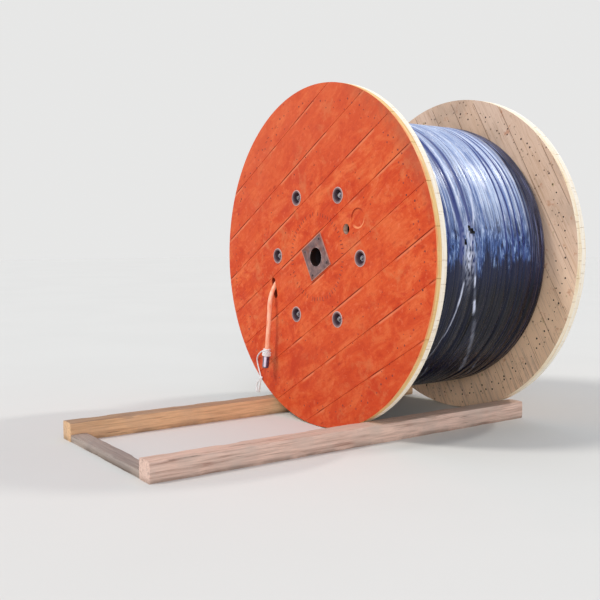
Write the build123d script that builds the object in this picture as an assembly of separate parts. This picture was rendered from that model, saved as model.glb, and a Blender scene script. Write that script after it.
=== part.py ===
from build123d import *
import math
import os

os.makedirs("parts", exist_ok=True)

# A full wooden cable drum lying between two timbers. Millimetres, +Z up.
# The painted flange faces -Y, and the drum's axle runs along Y.
# The origin is on the floor, under the middle of the whole assembly.

# Drum
drum_diameter = 2000.0
drum_radius = drum_diameter / 2
ply_thickness = 35.0
flange_thickness = 2 * ply_thickness
inside_width = 1028.0
barrel_radius = 465.0
stave_count = 24
stave_thickness = 35.0
cable_pack_radius = 815.0
pack_shoulder_drop = 38.0
pack_shoulder_width = 42.0
film_thickness = 1.5

# Boards of the flanges. The outer boards climb to the right at 30 degrees, the inner ones cross them.
outer_board_width = 230.0
inner_board_width = 160.0
narrowest_board = 20.0
board_angle = 30.0
seam_width = 3.0
seam_depth = 4.0
rim_seam_depth = 6.0

# Bore, drive hole, shallow recess and cable slot
bore_radius = 55.0
drive_hole_radius = 30.0
drive_hole_reach = 322.0
recess_radius = 56.0
recess_depth = 4.0
recess_reach = 440.0
slot_width = 40.0
slot_bottom = -268.0
outer_slot_top = -135.0
inner_slot_top = -104.0
slot_centre_x = -444.5
slot_lean = 17.0

# Tie rods with their cups and nuts. What repeats has few sides, and the hidden holes match it.
rod_count = 6
rod_sides = 8
rod_radius = 10.0
rod_barrel_clearance = 10.0
rod_hole_radius = 11.0
rod_end_depth = 7.0
cup_sides = 14
cup_rim_radius = 47.0
cup_rim_height = 3.0
cup_body_radius = 34.0
cup_hole_radius = 34.3
cup_wall = 3.0
cup_floor = 4.0
cup_rim_taper = 45.0
cup_inside_taper = 8.0
nut_across_flats = 30.0
nut_height = 16.0

# Centre plate and its fixings
plate_side = 210.0
plate_thickness = 6.0
fixing_sides = 8
fixing_reach = 112.0
fixing_radius = 8.0
fixing_height = 4.0
fixing_taper = 40.0

# Timbers and the board between them
timber_height = 105.0
timber_width = 115.0
floor_gap = 3.0
timber_front_reach = 1340.0
timber_rear_reach = 12.0
cross_board_width = 95.0
cross_board_height = 42.0

# Cable end, cap and tie cord
cable_diameter = 28.5
cable_sides = 12
cap_radius = 21.5
cap_length = 116.0
cap_overlap = 30.0
cap_end_chamfer = 6.0
cord_diameter = 9.0
cord_sides = 6
knot_radius = 7.2
cord_turns = (34.8, 43.6)

# Derived sizes and positions
total_width = 2 * flange_thickness + inside_width
assembly_front = -timber_front_reach
assembly_rear = total_width + timber_rear_reach
face_y = -(assembly_front + assembly_rear) / 2
axle_z = drum_radius + floor_gap
timber_inner_x = math.sqrt(drum_radius**2 - (axle_z - timber_height) ** 2)
front_inner_y = face_y + flange_thickness
rear_inner_y = front_inner_y + inside_width
rear_face_y = rear_inner_y + flange_thickness
stave_reach = barrel_radius * math.cos(math.pi / stave_count) - stave_thickness
rod_circle_radius = stave_reach - rod_barrel_clearance - rod_radius

# Each route point is (right of the axle, behind the painted face, above the axle).
cable_route = [
    (-466.0, 70.0, -130.0),
    (-441.0, -50.0, -225.0),
    (-438.0, -61.0, -429.0),
    (-453.0, -57.0, -632.0),
]
tie_route = [
    (-469.0, -60.0, -594.0),
    (-560.0, -34.0, -618.0),
    (-652.0, -5.0, -668.0),
    (-628.0, -5.0, -730.0),
    (-592.0, -7.5, -792.0),
    (-606.0, -9.0, -838.0),
    (-618.0, -9.0, -882.0),
]
loose_end_route = [
    (-592.0, -7.5, -792.0),
    (-622.0, -12.0, -815.0),
    (-643.0, -12.0, -850.0),
    (-636.0, -12.0, -886.0),
]


def along_axle(radius, length, y_start, x=0.0, z=0.0, sides=0):
    """A bar along Y that starts at y_start, round or with the given number of sides."""
    if sides:
        bar = extrude(RegularPolygon(radius, sides), length / 2, both=True)
    else:
        bar = Cylinder(radius, length)
    return Pos(x, y_start + length / 2, axle_z + z) * Rot(90, 0, 0) * bar


def rod_places():
    """Centre points of the six tie rods, as right and up from the axle."""
    places = []
    for index in range(rod_count):
        angle = math.radians(360.0 / rod_count * index)
        places.append((rod_circle_radius * math.cos(angle), rod_circle_radius * math.sin(angle)))
    return places


def seam_offsets(width, centred_board):
    """Distances of a ply's seams from the axle, across the boards."""
    offsets = []
    first = width / 2 if centred_board else 0.0
    count = int(drum_radius / width) + 1
    for index in range(count):
        offset = first + index * width
        if offset < drum_radius - narrowest_board:
            offsets.append(offset)
            if offset > 0:
                offsets.append(-offset)
    return sorted(offsets)


def seam_cuts(y_face, y_start, width, centred_board, angle):
    """Grooves on one face of a ply and notches through its rim."""
    cuts = []
    for offset in seam_offsets(width, centred_board):
        half_chord = math.sqrt(drum_radius**2 - offset**2)
        turn = Pos(0, 0, axle_z) * Rot(0, -angle, 0)
        groove = Box(2 * half_chord + 20, 2 * seam_depth, seam_width)
        cuts.append(turn * Pos(0, y_face, offset) * groove)
        for side in (-1, 1):
            notch = Box(2 * rim_seam_depth, ply_thickness + 2, seam_width)
            cuts.append(turn * Pos(side * half_chord, y_start + ply_thickness / 2, offset) * notch)
    return cuts


def cable_slot(y_start, top):
    """A round-ended slot beside the barrel, through one ply. It leans, so a longer one starts further out."""
    centre_z = (top + slot_bottom) / 2
    outer_centre_z = (outer_slot_top + slot_bottom) / 2
    centre_x = slot_centre_x - (centre_z - outer_centre_z) * math.tan(math.radians(slot_lean))
    outline = SlotOverall(top - slot_bottom, slot_width)
    cutter = extrude(outline, ply_thickness / 2 + 1, both=True)
    place = Pos(centre_x, y_start + ply_thickness / 2, axle_z + centre_z)
    return place * Rot(0, 90 - slot_lean, 0) * Rot(90, 0, 0) * cutter


def on_drive_line(reach):
    """A point on the line of the drive hole and the recess."""
    angle = math.radians(board_angle)
    return reach * math.cos(angle), reach * math.sin(angle)


def ply(y_start, y_seen, width, centred_board, angle, rod_hole, rod_hole_sides):
    """One round layer of boards with its seams, bore and rod holes."""
    body = along_axle(drum_radius, ply_thickness, y_start)
    cuts = seam_cuts(y_seen, y_start, width, centred_board, angle)
    cuts.append(along_axle(bore_radius, ply_thickness + 2, y_start - 1))
    for x, z in rod_places():
        cuts.append(along_axle(rod_hole, ply_thickness + 2, y_start - 1, x, z, rod_hole_sides))
    return body - cuts


def outer_ply(y_start, y_seen):
    """The boards that show from outside, with holes for the cups."""
    return ply(y_start, y_seen, outer_board_width, True, board_angle, cup_hole_radius, cup_sides)


def inner_ply(y_start, y_seen):
    """The crossing boards that face the cable, with holes for the rods."""
    return ply(y_start, y_seen, inner_board_width, False, board_angle - 90, rod_hole_radius, rod_sides)


def drive_hole(y_start):
    x, z = on_drive_line(drive_hole_reach)
    return along_axle(drive_hole_radius, ply_thickness + 2, y_start - 1, x, z)


def front_outer_boards():
    body = outer_ply(face_y, face_y)
    x, z = on_drive_line(recess_reach)
    body -= drive_hole(face_y)
    body -= along_axle(recess_radius, 2 * recess_depth, face_y - recess_depth, x, z)
    return body - cable_slot(face_y, outer_slot_top)


def front_inner_boards():
    y_start = face_y + ply_thickness
    body = inner_ply(y_start, front_inner_y)
    body -= drive_hole(y_start)
    return body - cable_slot(y_start, inner_slot_top)


def rear_inner_boards():
    return inner_ply(rear_inner_y, rear_inner_y)


def rear_outer_boards():
    return outer_ply(rear_inner_y + ply_thickness, rear_face_y)


def barrel():
    """A ring of flat staves between the flanges."""
    inside_radius = stave_reach / math.cos(math.pi / stave_count)
    outside = along_axle(barrel_radius, inside_width, front_inner_y, sides=stave_count)
    return outside - along_axle(inside_radius, inside_width + 2, front_inner_y - 1, sides=stave_count)


def turned_pack(added):
    """The cable pack turned about the axle, drawn in at the bare flange and thicker by what is added."""
    radius = cable_pack_radius + added
    outline = Polyline(
        (0, 0),
        (radius, 0),
        (radius, inside_width - pack_shoulder_width),
        (radius - pack_shoulder_drop, inside_width),
        (0, inside_width),
        close=True,
    )
    section = Plane(origin=(0, front_inner_y, axle_z), z_dir=(0, 0, 1)) * make_face(outline)
    return revolve(section, axis=Axis((0, 0, axle_z), (0, 1, 0)))


def cable_winding():
    return turned_pack(0) - along_axle(barrel_radius, inside_width + 2, front_inner_y - 1)


def stretch_film():
    return turned_pack(film_thickness) - turned_pack(0)


def cup_washer():
    """A pressed cup about Z, with its mouth up and its rim resting on z = 0."""
    rim = extrude(RegularPolygon(cup_rim_radius, cup_sides), cup_rim_height, taper=cup_rim_taper)
    body = extrude(RegularPolygon(cup_body_radius, cup_sides), -ply_thickness)
    depth = ply_thickness - cup_floor + cup_rim_height
    inside = extrude(RegularPolygon(cup_body_radius - cup_wall, cup_sides), depth, taper=cup_inside_taper)
    inside = Pos(0, 0, cup_rim_height) * Rot(180, 0, 0) * inside
    hole = extrude(RegularPolygon(rod_hole_radius, rod_sides), -ply_thickness - 1)
    return rim + body - inside - hole


def hex_nut():
    """A nut about Z that stands on z = 0."""
    outline = RegularPolygon(nut_across_flats / 2, 6, major_radius=False)
    return extrude(outline - RegularPolygon(rod_radius, rod_sides), nut_height)


def at_rods(piece, y, facing_front, lift=0.0):
    """Copies of a piece made about Z, set at the six rods with its top facing out."""
    copies = []
    turn = Rot(90, 0, 0) if facing_front else Rot(-90, 0, 0)
    for x, z in rod_places():
        copies.append(Pos(x, y, axle_z + z) * turn * Pos(0, 0, lift) * piece)
    return Compound(children=copies)


def tie_rods():
    rods = []
    length = total_width - 2 * rod_end_depth
    for x, z in rod_places():
        rods.append(along_axle(rod_radius, length, face_y + rod_end_depth, x, z, rod_sides))
    return Compound(children=rods)


def centre_plate():
    plate = Box(plate_side, plate_thickness, plate_side)
    plate = Pos(0, face_y - plate_thickness / 2, axle_z) * Rot(0, -board_angle, 0) * plate
    return plate - along_axle(bore_radius, plate_thickness + 2, face_y - plate_thickness - 1)


def plate_fixings():
    """Low domed heads near the plate's corners."""
    heads = []
    head = extrude(RegularPolygon(fixing_radius, fixing_sides), fixing_height, taper=fixing_taper)
    for index in range(4):
        angle = math.radians(board_angle + 45 + 90 * index)
        place = Pos(
            fixing_reach * math.cos(angle), face_y - plate_thickness, axle_z + fixing_reach * math.sin(angle)
        )
        heads.append(place * Rot(90, 0, 0) * head)
    return Compound(children=heads)


def in_row(point):
    """A route point in the row's own frame."""
    x, y, z = point
    return Vector(x, face_y + y, axle_z + z)


def corner_radius(before, corner, after):
    """Arc radius that takes 0.45 of the shorter run at a corner."""
    first = corner - before
    second = after - corner
    turn = math.radians(first.get_angle(second))
    return 0.45 * min(first.length, second.length) / math.tan(turn / 2)


def bar_on_route(route, diameter, sides, name):
    """A cord or cable along straight runs joined by tangent arcs. Its many sides stand for a round one."""
    points = [in_row(point) for point in route]
    radii = []
    for index in range(1, len(points) - 1):
        radii.append(corner_radius(points[index - 1], points[index], points[index + 1]))
    line = FilletPolyline(*points, radius=radii)
    print(name, "length", round(line.length), "arc radii", [round(radius) for radius in radii])
    start = Plane(origin=line @ 0, z_dir=line % 0)
    return sweep(start * RegularPolygon(diameter / 2, sides), path=line)


def around_circle(radius, sides):
    """Radius to the corners of a polygon that has a circle of the given radius inside it."""
    return radius / math.cos(math.pi / sides)


def cable_end_plane(back):
    """A plane across the cable, the given length back from its cut end, facing the end."""
    end = in_row(cable_route[-1])
    direction = (end - in_row(cable_route[-2])).normalized()
    return Plane(origin=end - direction * back, z_dir=direction)


def cable_tail():
    """The cable's inner end, cut flush where it leaves the winding's end face."""
    bar = bar_on_route(cable_route, cable_diameter, cable_sides, "cable tail")
    start = in_row(cable_route[0])
    back = (start - in_row(cable_route[1])).normalized()
    mouth = Plane(origin=start, z_dir=-back) * RegularPolygon(cable_diameter / 2, cable_sides)
    bar += extrude(mouth, -cable_diameter)
    inside = Pos(start.X, front_inner_y + cable_diameter, start.Z) * Box(
        4 * cable_diameter, 2 * cable_diameter, 4 * cable_diameter
    )
    return bar - inside


def cable_end_cap():
    """A closed sleeve shrunk over the cut end of the cable."""
    base = cable_end_plane(cap_overlap)
    sleeve = extrude(base * RegularPolygon(cap_radius, cable_sides), cap_length)
    closed_end = sleeve.faces().sort_by_distance(base.origin + base.z_dir * cap_length)[0]
    sleeve = chamfer(closed_end.edges(), cap_end_chamfer)
    bore = RegularPolygon(around_circle(cable_diameter / 2, cable_sides), cable_sides)
    return sleeve - extrude(base * bore, cap_overlap)


def cord_turn(back):
    """One turn of the cord round the cable, the given length back from its cut end."""
    base = cable_end_plane(back + cord_diameter / 2)
    inner_radius = around_circle(cable_diameter / 2 + 0.1, cable_sides)
    turn = extrude(base * RegularPolygon(inner_radius + cord_diameter, cable_sides), cord_diameter)
    ends = turn.faces().sort_by_distance(base.origin)[0].edges()
    ends += turn.faces().sort_by_distance(base.origin + base.z_dir * cord_diameter)[0].edges()
    turn = chamfer(ends, cord_diameter * 0.28)
    return turn - extrude(base * RegularPolygon(inner_radius, cable_sides), cord_diameter)


def tie_cord():
    """Two turns round the cable end, a strand knotted at the flange's edge and two loose ends."""
    body = bar_on_route(tie_route, cord_diameter, cord_sides, "tie cord")
    body += bar_on_route(loose_end_route, cord_diameter, cord_sides, "loose end")
    knot = extrude(RegularPolygon(knot_radius, cord_sides), knot_radius, both=True)
    knot = chamfer(knot.edges().group_by(Axis.Z)[0] + knot.edges().group_by(Axis.Z)[-1], knot_radius * 0.4)
    body += Pos(*in_row(loose_end_route[0])) * knot
    for back in cord_turns:
        body += cord_turn(back)
    return body


def timber(side):
    body = Box(timber_width, assembly_rear - assembly_front, timber_height)
    centre_x = side * (timber_inner_x + timber_width / 2)
    return Pos(centre_x, 0, timber_height / 2) * body


def cross_board():
    body = Box(2 * timber_inner_x, cross_board_width, cross_board_height)
    return Pos(0, face_y + assembly_front + cross_board_width / 2, cross_board_height / 2) * body


pieces = {
    "front_outer_boards": front_outer_boards(),
    "front_inner_boards": front_inner_boards(),
    "rear_inner_boards": rear_inner_boards(),
    "rear_outer_boards": rear_outer_boards(),
    "barrel": barrel(),
    "cable_winding": cable_winding(),
    "stretch_film": stretch_film(),
    "tie_rods": tie_rods(),
    "front_cups": at_rods(cup_washer(), face_y, True),
    "rear_cups": at_rods(cup_washer(), rear_face_y, False),
    "front_nuts": at_rods(hex_nut(), face_y, True, cup_floor - ply_thickness),
    "rear_nuts": at_rods(hex_nut(), rear_face_y, False, cup_floor - ply_thickness),
    "centre_plate": centre_plate(),
    "plate_fixings": plate_fixings(),
    "cable_tail": cable_tail(),
    "cable_end_cap": cable_end_cap(),
    "tie_cord": tie_cord(),
    "near_timber": timber(1),
    "far_timber": timber(-1),
    "cross_board": cross_board(),
}

for name, piece in pieces.items():
    export_step(piece, f"parts/{name}.step")
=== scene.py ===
import bpy
import math
import random
from mathutils import Matrix, Vector, noise


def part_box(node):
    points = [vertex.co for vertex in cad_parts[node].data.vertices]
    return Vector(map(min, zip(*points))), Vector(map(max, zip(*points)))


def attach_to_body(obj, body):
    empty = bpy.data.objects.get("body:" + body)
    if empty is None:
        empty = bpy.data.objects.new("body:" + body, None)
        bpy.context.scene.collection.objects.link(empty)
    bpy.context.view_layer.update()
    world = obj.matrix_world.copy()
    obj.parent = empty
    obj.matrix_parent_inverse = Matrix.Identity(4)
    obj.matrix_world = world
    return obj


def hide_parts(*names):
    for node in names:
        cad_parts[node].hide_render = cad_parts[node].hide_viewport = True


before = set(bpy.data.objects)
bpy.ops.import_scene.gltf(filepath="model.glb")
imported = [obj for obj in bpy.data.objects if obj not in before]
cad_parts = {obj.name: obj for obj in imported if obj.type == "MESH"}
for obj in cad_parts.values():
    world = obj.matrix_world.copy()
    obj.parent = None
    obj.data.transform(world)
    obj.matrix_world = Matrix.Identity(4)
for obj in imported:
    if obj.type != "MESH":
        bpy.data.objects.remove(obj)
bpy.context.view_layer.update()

# A full wooden cable drum between two timbers. Metres, in the row's frame.
# The painted flange faces -Y, and the drum's axle runs along Y.
FACE_Y = 0.080
AXLE_Z = 1.003
PLY = 0.035
FRONT_INNER_Y = 0.150
REAR_INNER_Y = 1.178
REAR_FACE_Y = 1.248
INSIDE_WIDTH = REAR_INNER_Y - FRONT_INNER_Y
BOARD_ANGLE = math.radians(30)
CROSS_ANGLE = BOARD_ANGLE - math.pi / 2
OUTER_BOARD = 0.230
INNER_BOARD = 0.160
FILM_RADIUS = 0.8165
BARREL_RADIUS = 0.465
BARREL_INSIDE = 0.43
CABLE_PITCH = 0.0285
RECESS_CENTRE = (0.3811, FACE_Y, AXLE_Z + 0.220)
SLOT_CENTRE = (-0.4445, FACE_Y + 0.020, AXLE_Z - 0.2015)
DRIVE_CENTRE = (0.2789, FACE_Y + 0.018, AXLE_Z + 0.161)
PLATE_HALF = 0.105
PLATE_THICKNESS = 0.006
BORE_RADIUS = 0.055


def link(name, data):
    """A new object of the scene."""
    obj = bpy.data.objects.new(name, data)
    bpy.context.scene.collection.objects.link(obj)
    return obj


# Camera

camera_data = bpy.data.cameras.new("camera")
camera_data.sensor_width = 36
camera_data.lens = 51.62
camera = link("camera", camera_data)
camera.location = (4.070, -2.909, 1.1147)
camera.rotation_euler = Vector((-0.815, 0.575, -0.072)).to_track_quat("-Z", "Y").to_euler()
bpy.context.scene.camera = camera


# Materials


def shade(red, green, blue):
    """A colour given as it looks on a screen, 0 to 255, turned into linear values."""
    parts = []
    for value in (red, green, blue):
        part = value / 255
        parts.append(part / 12.92 if part <= 0.04045 else ((part + 0.055) / 1.055) ** 2.4)
    return (*parts, 1.0)


class Nodes:
    """A node tree whose nodes are made one call at a time."""

    def __init__(self, tree):
        self.tree = tree

    def add(self, kind, inputs=(), **settings):
        node = self.tree.nodes.new(kind)
        for key, value in settings.items():
            setattr(node, key, value)
        for key, value in dict(inputs).items():
            self.feed(node.inputs[key], value)
        return node

    def feed(self, socket, value):
        if isinstance(value, bpy.types.NodeSocket):
            self.tree.links.new(value, socket)
        else:
            socket.default_value = value

    def calc(self, operation, first, second=0.0, third=0.0, clamp=False):
        node = self.add("ShaderNodeMath", {0: first, 1: second, 2: third}, operation=operation)
        node.use_clamp = clamp
        return node.outputs[0]

    def times(self, first, *others):
        """The product of all the values."""
        for other in others:
            first = self.calc("MULTIPLY", first, other)
        return first

    def parts(self, vector):
        return tuple(self.add("ShaderNodeSeparateXYZ", {0: vector}).outputs)

    def stretch(self, values, scales):
        """A vector of three values, each times its own scale."""
        scaled = [value if scale == 1 else self.times(value, scale) for value, scale in zip(values, scales)]
        return self.add("ShaderNodeCombineXYZ", dict(enumerate(scaled))).outputs[0]

    def span(self, value, low, high, new_low=0.0, new_high=1.0, smooth=True):
        node = self.add("ShaderNodeMapRange", {"Value": value, "From Min": low, "From Max": high})
        node.inputs["To Min"].default_value = new_low
        node.inputs["To Max"].default_value = new_high
        node.interpolation_type = "SMOOTHSTEP" if smooth else "LINEAR"
        return node.outputs["Result"]

    def spread(self, value, low, high):
        """The middle run of a noise, laid out from low to high."""
        return self.span(value, 0.3, 0.7, low, high)

    def blend(self, factor, first, second, mode="MIX"):
        node = self.add("ShaderNodeMix", data_type="RGBA", blend_type=mode)
        for socket, value in zip((node.inputs[0], node.inputs[6], node.inputs[7]), (factor, first, second)):
            self.feed(socket, value)
        return node.outputs[2]

    def tint(self, tone, *layers):
        """The tone with other colours over it, each given with its mask and as it looks on a screen."""
        for mask, colour in layers:
            tone = self.blend(mask, tone, shade(*colour))
        return tone

    def ramp(self, value, *stops):
        """Colours by value, from (value, colour as it looks on a screen) pairs."""
        node = self.add("ShaderNodeValToRGB", {0: value})
        elements = node.color_ramp.elements
        while len(elements) < len(stops):
            elements.new(0.5)
        for element, (position, colour) in zip(elements, stops):
            element.position = position
            element.color = shade(*colour)
        return node.outputs[0]


class Look(Nodes):
    """A material with one glossy or matte shader."""

    def __init__(self, name, roughness, metallic=0.0, coat=0.0, coat_roughness=0.1, specular=0.5):
        self.material = bpy.data.materials.new(name)
        self.material.use_nodes = True
        super().__init__(self.material.node_tree)
        self.sockets = self.tree.nodes["Principled BSDF"].inputs
        values = {"Roughness": roughness, "Metallic": metallic, "Coat Weight": coat,
                  "Coat Roughness": coat_roughness, "Specular IOR Level": specular}
        for socket, value in values.items():
            self.sockets[socket].default_value = value
        self.place = self.tree.nodes.new("ShaderNodeTexCoord").outputs["Object"]
        self.bump_normal = None

    def along(self, direction, origin):
        """Distance of the place along a direction, from an origin."""
        moved = self.add("ShaderNodeVectorMath", {0: self.place, 1: origin}, operation="SUBTRACT")
        return self.measure("DOT_PRODUCT", moved.outputs[0], direction)

    def measure(self, operation, first, second):
        """A number worked out from two vectors."""
        return self.add("ShaderNodeVectorMath", {0: first, 1: second}, operation=operation).outputs["Value"]

    def distance(self, point):
        return self.measure("DISTANCE", self.place, point)

    def round_axle(self):
        """The place as seen from the axle: angle, place along Y, height and distance."""
        right, along, up = self.parts(self.place)
        height = self.calc("SUBTRACT", up, AXLE_Z)
        squares = [self.calc("POWER", value, 2.0) for value in (right, height)]
        reach = self.calc("SQRT", self.calc("ADD", *squares))
        return self.calc("ARCTAN2", height, right), along, height, reach

    def attribute(self, name):
        return self.add("ShaderNodeAttribute", attribute_name=name).outputs["Fac"]

    def geometry(self, name):
        return self.add("ShaderNodeNewGeometry").outputs[name]

    def noise(self, scale, detail=3.0, rough=0.55, distortion=0.0, place=None):
        vector = self.place if place is None else place
        values = {"Vector": vector, "Scale": scale, "Detail": detail, "Roughness": rough,
                  "Distortion": distortion}
        return self.add("ShaderNodeTexNoise", values).outputs["Fac"]

    def drawn(self, values, scales, *settings):
        """Noise of three values, each times its own scale. The settings are those of the noise."""
        return self.noise(*settings, place=self.stretch(values, scales))

    def random(self, value):
        return self.add("ShaderNodeTexWhiteNoise", {"W": value}, noise_dimensions="1D").outputs["Value"]

    def cells(self, vector, scale, scatter=1.0):
        values = {"Vector": vector, "Scale": scale, "Randomness": scatter}
        return self.add("ShaderNodeTexVoronoi", values).outputs["Distance"]

    def dots(self, vector, scale, inner, outer):
        """1 at scattered points, falling to 0 round them."""
        return self.span(self.cells(vector, scale), inner, outer, 1.0, 0.0)

    def bump(self, height, distance, strength=1.0):
        values = {"Height": height, "Distance": distance, "Strength": strength}
        if self.bump_normal is not None:
            values["Normal"] = self.bump_normal
        self.bump_normal = self.add("ShaderNodeBump", values).outputs[0]

    def done(self, tone, roughness=None):
        self.feed(self.sockets["Base Color"], tone)
        if roughness is not None:
            self.feed(self.sockets["Roughness"], roughness)
        if self.bump_normal is not None:
            self.feed(self.sockets["Normal"], self.bump_normal)
        return self.material


def board_axes(look, angle, origin_y):
    """Distances along and across boards that lie at an angle, from the axle."""
    origin = (0, origin_y, AXLE_Z)
    along = look.along((math.cos(angle), 0, math.sin(angle)), origin)
    return along, look.along((-math.sin(angle), 0, math.cos(angle)), origin)


def board_places(look, angle, width, centred, origin_y):
    """Places along the boards, across them and from each board's middle, and a random number a board."""
    along, across = board_axes(look, angle, origin_y)
    shifted = look.calc("ADD", across, width / 2 if centred else 0.0)
    index = look.calc("FLOOR", look.calc("DIVIDE", shifted, width))
    middle = look.calc("SUBTRACT", shifted, look.times(look.calc("ADD", index, 0.5), width))
    return along, across, middle, look.random(index)


def grain_and_knots(look, along, across, depth, chance, knot_size):
    """Long grain lines that bend round knots, and the knots' own mask."""
    moved = look.calc("MULTIPLY_ADD", chance, 7.3, along)
    knot_distance = look.cells(look.stretch((moved, 0.0, across), (2.1, 1, 6.5)), 1.0, 0.9)
    knot = look.span(knot_distance, knot_size * 0.5, knot_size, 1.0, 0.0)
    swirl = look.span(knot_distance, 0.0, knot_size * 3.2, 1.0, 0.0)
    bent = look.calc("MULTIPLY_ADD", swirl, 0.02, across)
    return look.drawn((moved, depth, bent), (1, 6.0, 26.0), 2.6, 7.0, 0.62, 0.35), knot


def rim_mask(look):
    """1 on the flanges' rims, the distance from the axle, and 1 on every side wall."""
    reach = look.round_axle()[3]
    flat = look.calc("ABSOLUTE", look.parts(look.geometry("True Normal"))[1])
    side = look.calc("LESS_THAN", flat, 0.5)
    return look.times(side, look.span(reach, 0.975, 0.985)), reach, side


def pine(look, grain, knot, chance, light, dark, weather):
    """Bare softwood: grain, knots, board-to-board change and some grey."""
    warm = look.tint(shade(*light), (0.55, (196, 150, 104)))
    clouds = look.noise(3.0, 5.0, 0.6)
    tone = look.ramp(grain, (0.30, dark), (0.50, light), (0.72, dark))
    tone = look.blend(look.span(chance, 0.0, 1.0, 0.0, 0.4), tone, warm)
    return look.tint(
        tone,
        (look.times(knot, 0.8), (112, 66, 36)),
        (look.span(clouds, 0.45, 0.75, 0.0, weather), (150, 132, 116)),
    )


def rim_wood(look, grain_seed, light, dark):
    """Bare rim of a flange: end and side grain by turns, with fine cracks."""
    turn, along, _, _ = look.round_axle()
    streaks = look.drawn((turn, along, grain_seed), (3.2, 60.0, 1), 1.6, 6.0, 0.6)
    cracks = look.drawn((turn, along, grain_seed), (90.0, 9.0, 1), 1.0, 4.0)
    tone = look.ramp(streaks, (0.3, dark), (0.55, light))
    return look.tint(tone, (look.span(cracks, 0.56, 0.72, 0.0, 0.45), (168, 124, 84)))


def paint_coat(look, along, across, depth, chance, grain, thin, clouds):
    """Brushed paint: clouds, thin places that show tan wood, redder runs, and painted light and shade: paler
    above, deeper low down.
    """
    wide = look.noise(1.1, 3.0, 0.5)
    mottle = look.noise(34.0, 5.0, 0.7)
    runs = look.drawn((along, depth, across), (2.3, 1, 7.0), 1.9, 6.0, 0.7, 0.8)
    height = look.along((-0.30, 0, 0.95), (0, FACE_Y, AXLE_Z))
    return look.tint(
        look.ramp(clouds, (0.37, (194, 58, 26)), (0.5, (214, 82, 39)), (0.62, (227, 112, 62))),
        (look.span(wide, 0.40, 0.62, 0.0, 0.40), (218, 95, 50)),
        (look.span(chance, 0.0, 1.0, 0.0, 0.20), (200, 64, 30)),
        (look.span(grain, 0.30, 0.60, 0.30, 0.0), (196, 60, 30)),
        (look.span(thin, 0.54, 0.68, 0.0, 0.55), (212, 120, 74)),
        (look.span(mottle, 0.55, 0.68, 0.0, 0.48), (180, 54, 32)),
        (look.span(mottle, 0.44, 0.33, 0.0, 0.30), (236, 134, 92)),
        (look.span(runs, 0.57, 0.70, 0.0, 0.60), (192, 48, 26)),
        # Paler above and deeper low down: painted light and painted shade
        (look.span(height, 0.0, 1.1, 0.0, 0.40), (218, 107, 72)),
        (look.span(height, -0.15, -0.90, 0.0, 0.34), (184, 66, 32)),
    )


def paint_wear(look, paint, along, across, middle, knot):
    """Specks of dirt, dents and knots, dirt by the seams and the boards' paler upper lips; and the specks."""
    specks = look.dots(look.stretch((along, 0.0, across), (17.0, 1, 27.0)), 1.0, 0.07, 0.15)
    specks = look.times(specks, look.span(look.noise(3.7, 3.0), 0.50, 0.58))
    dents = look.dots(look.stretch((along, 3.0, across), (9.0, 1, 17.0)), 1.0, 0.08, 0.22)
    dents = look.times(dents, look.span(look.noise(2.3, 3.0), 0.50, 0.60))
    half = OUTER_BOARD / 2
    seam = look.span(look.calc("ABSOLUTE", middle), half - 0.007, half - 0.001)
    broken = look.span(look.noise(3.4, 3.0), 0.44, 0.56)
    lip = look.span(middle, half - 0.020, half - 0.008)
    lip = look.times(lip, look.span(middle, half - 0.002, half - 0.005))
    paint = look.tint(
        paint,
        (look.times(specks, 0.68), (112, 34, 24)),
        (look.times(dents, 0.50), (156, 46, 28)),
        (look.times(knot, 0.55), (150, 42, 24)),
        (look.times(seam, broken, 0.62), (112, 36, 24)),
        (look.times(lip, broken, 0.50), (240, 146, 104)),
    )
    return paint, specks


def paint_marks(look, paint, reach, thin):
    """Dirt by the upper right rim, and the recess with a pale ring below and a dark one above: painted
    highlight and painted shade on its walls.
    """
    upper_right = look.along((0.72, 0, 0.69), (0, FACE_Y, AXLE_Z))
    dirt = look.times(look.span(upper_right, 0.78, 0.97), look.span(reach, 0.84, 0.99, 0.15, 1.0))
    from_recess = look.distance(RECESS_CENTRE)
    ring = look.times(look.span(from_recess, 0.045, 0.051), look.span(from_recess, 0.0585, 0.0575))
    lower = look.along((0.35, 0, -0.94), RECESS_CENTRE)
    return look.tint(
        paint,
        (look.times(dirt, look.span(thin, 0.34, 0.56, 0.15, 0.55)), (168, 90, 66)),
        # The recess's lower wall gets a painted highlight and its upper wall painted shade
        (look.times(ring, look.span(lower, 0.005, 0.045, 0.0, 0.85)), (240, 160, 110)),
        (look.times(ring, look.span(lower, -0.005, -0.045, 0.0, 0.55)), (150, 46, 28)),
    )


def wood_in_holes(look, grain, reach):
    """Wood inside the painted layer: painted shade where it is shut in, away from the ring of rods, red where
    paint has filled a seam or blown into the slot.
    """
    from_cups = look.calc("ABSOLUTE", look.calc("SUBTRACT", reach, 0.36))
    filled = look.span(look.noise(3.4, 3.0), 0.44, 0.56, 0.75, 0.0)
    past_drive = look.calc("GREATER_THAN", look.distance(DRIVE_CENTRE), 0.055)
    past_bore = look.calc("GREATER_THAN", reach, 0.10)
    return look.tint(
        look.ramp(grain, (0.35, (158, 126, 112)), (0.6, (206, 176, 158))),
        # Painted shade deep in the holes and seams, away from the ring of rods
        (look.span(from_cups, 0.10, 0.14), (34, 20, 18)),
        (look.times(filled, past_drive, past_bore), (204, 74, 42)),
        (look.span(look.distance(SLOT_CENTRE), 0.095, 0.085), (128, 42, 26)),
    )


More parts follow.
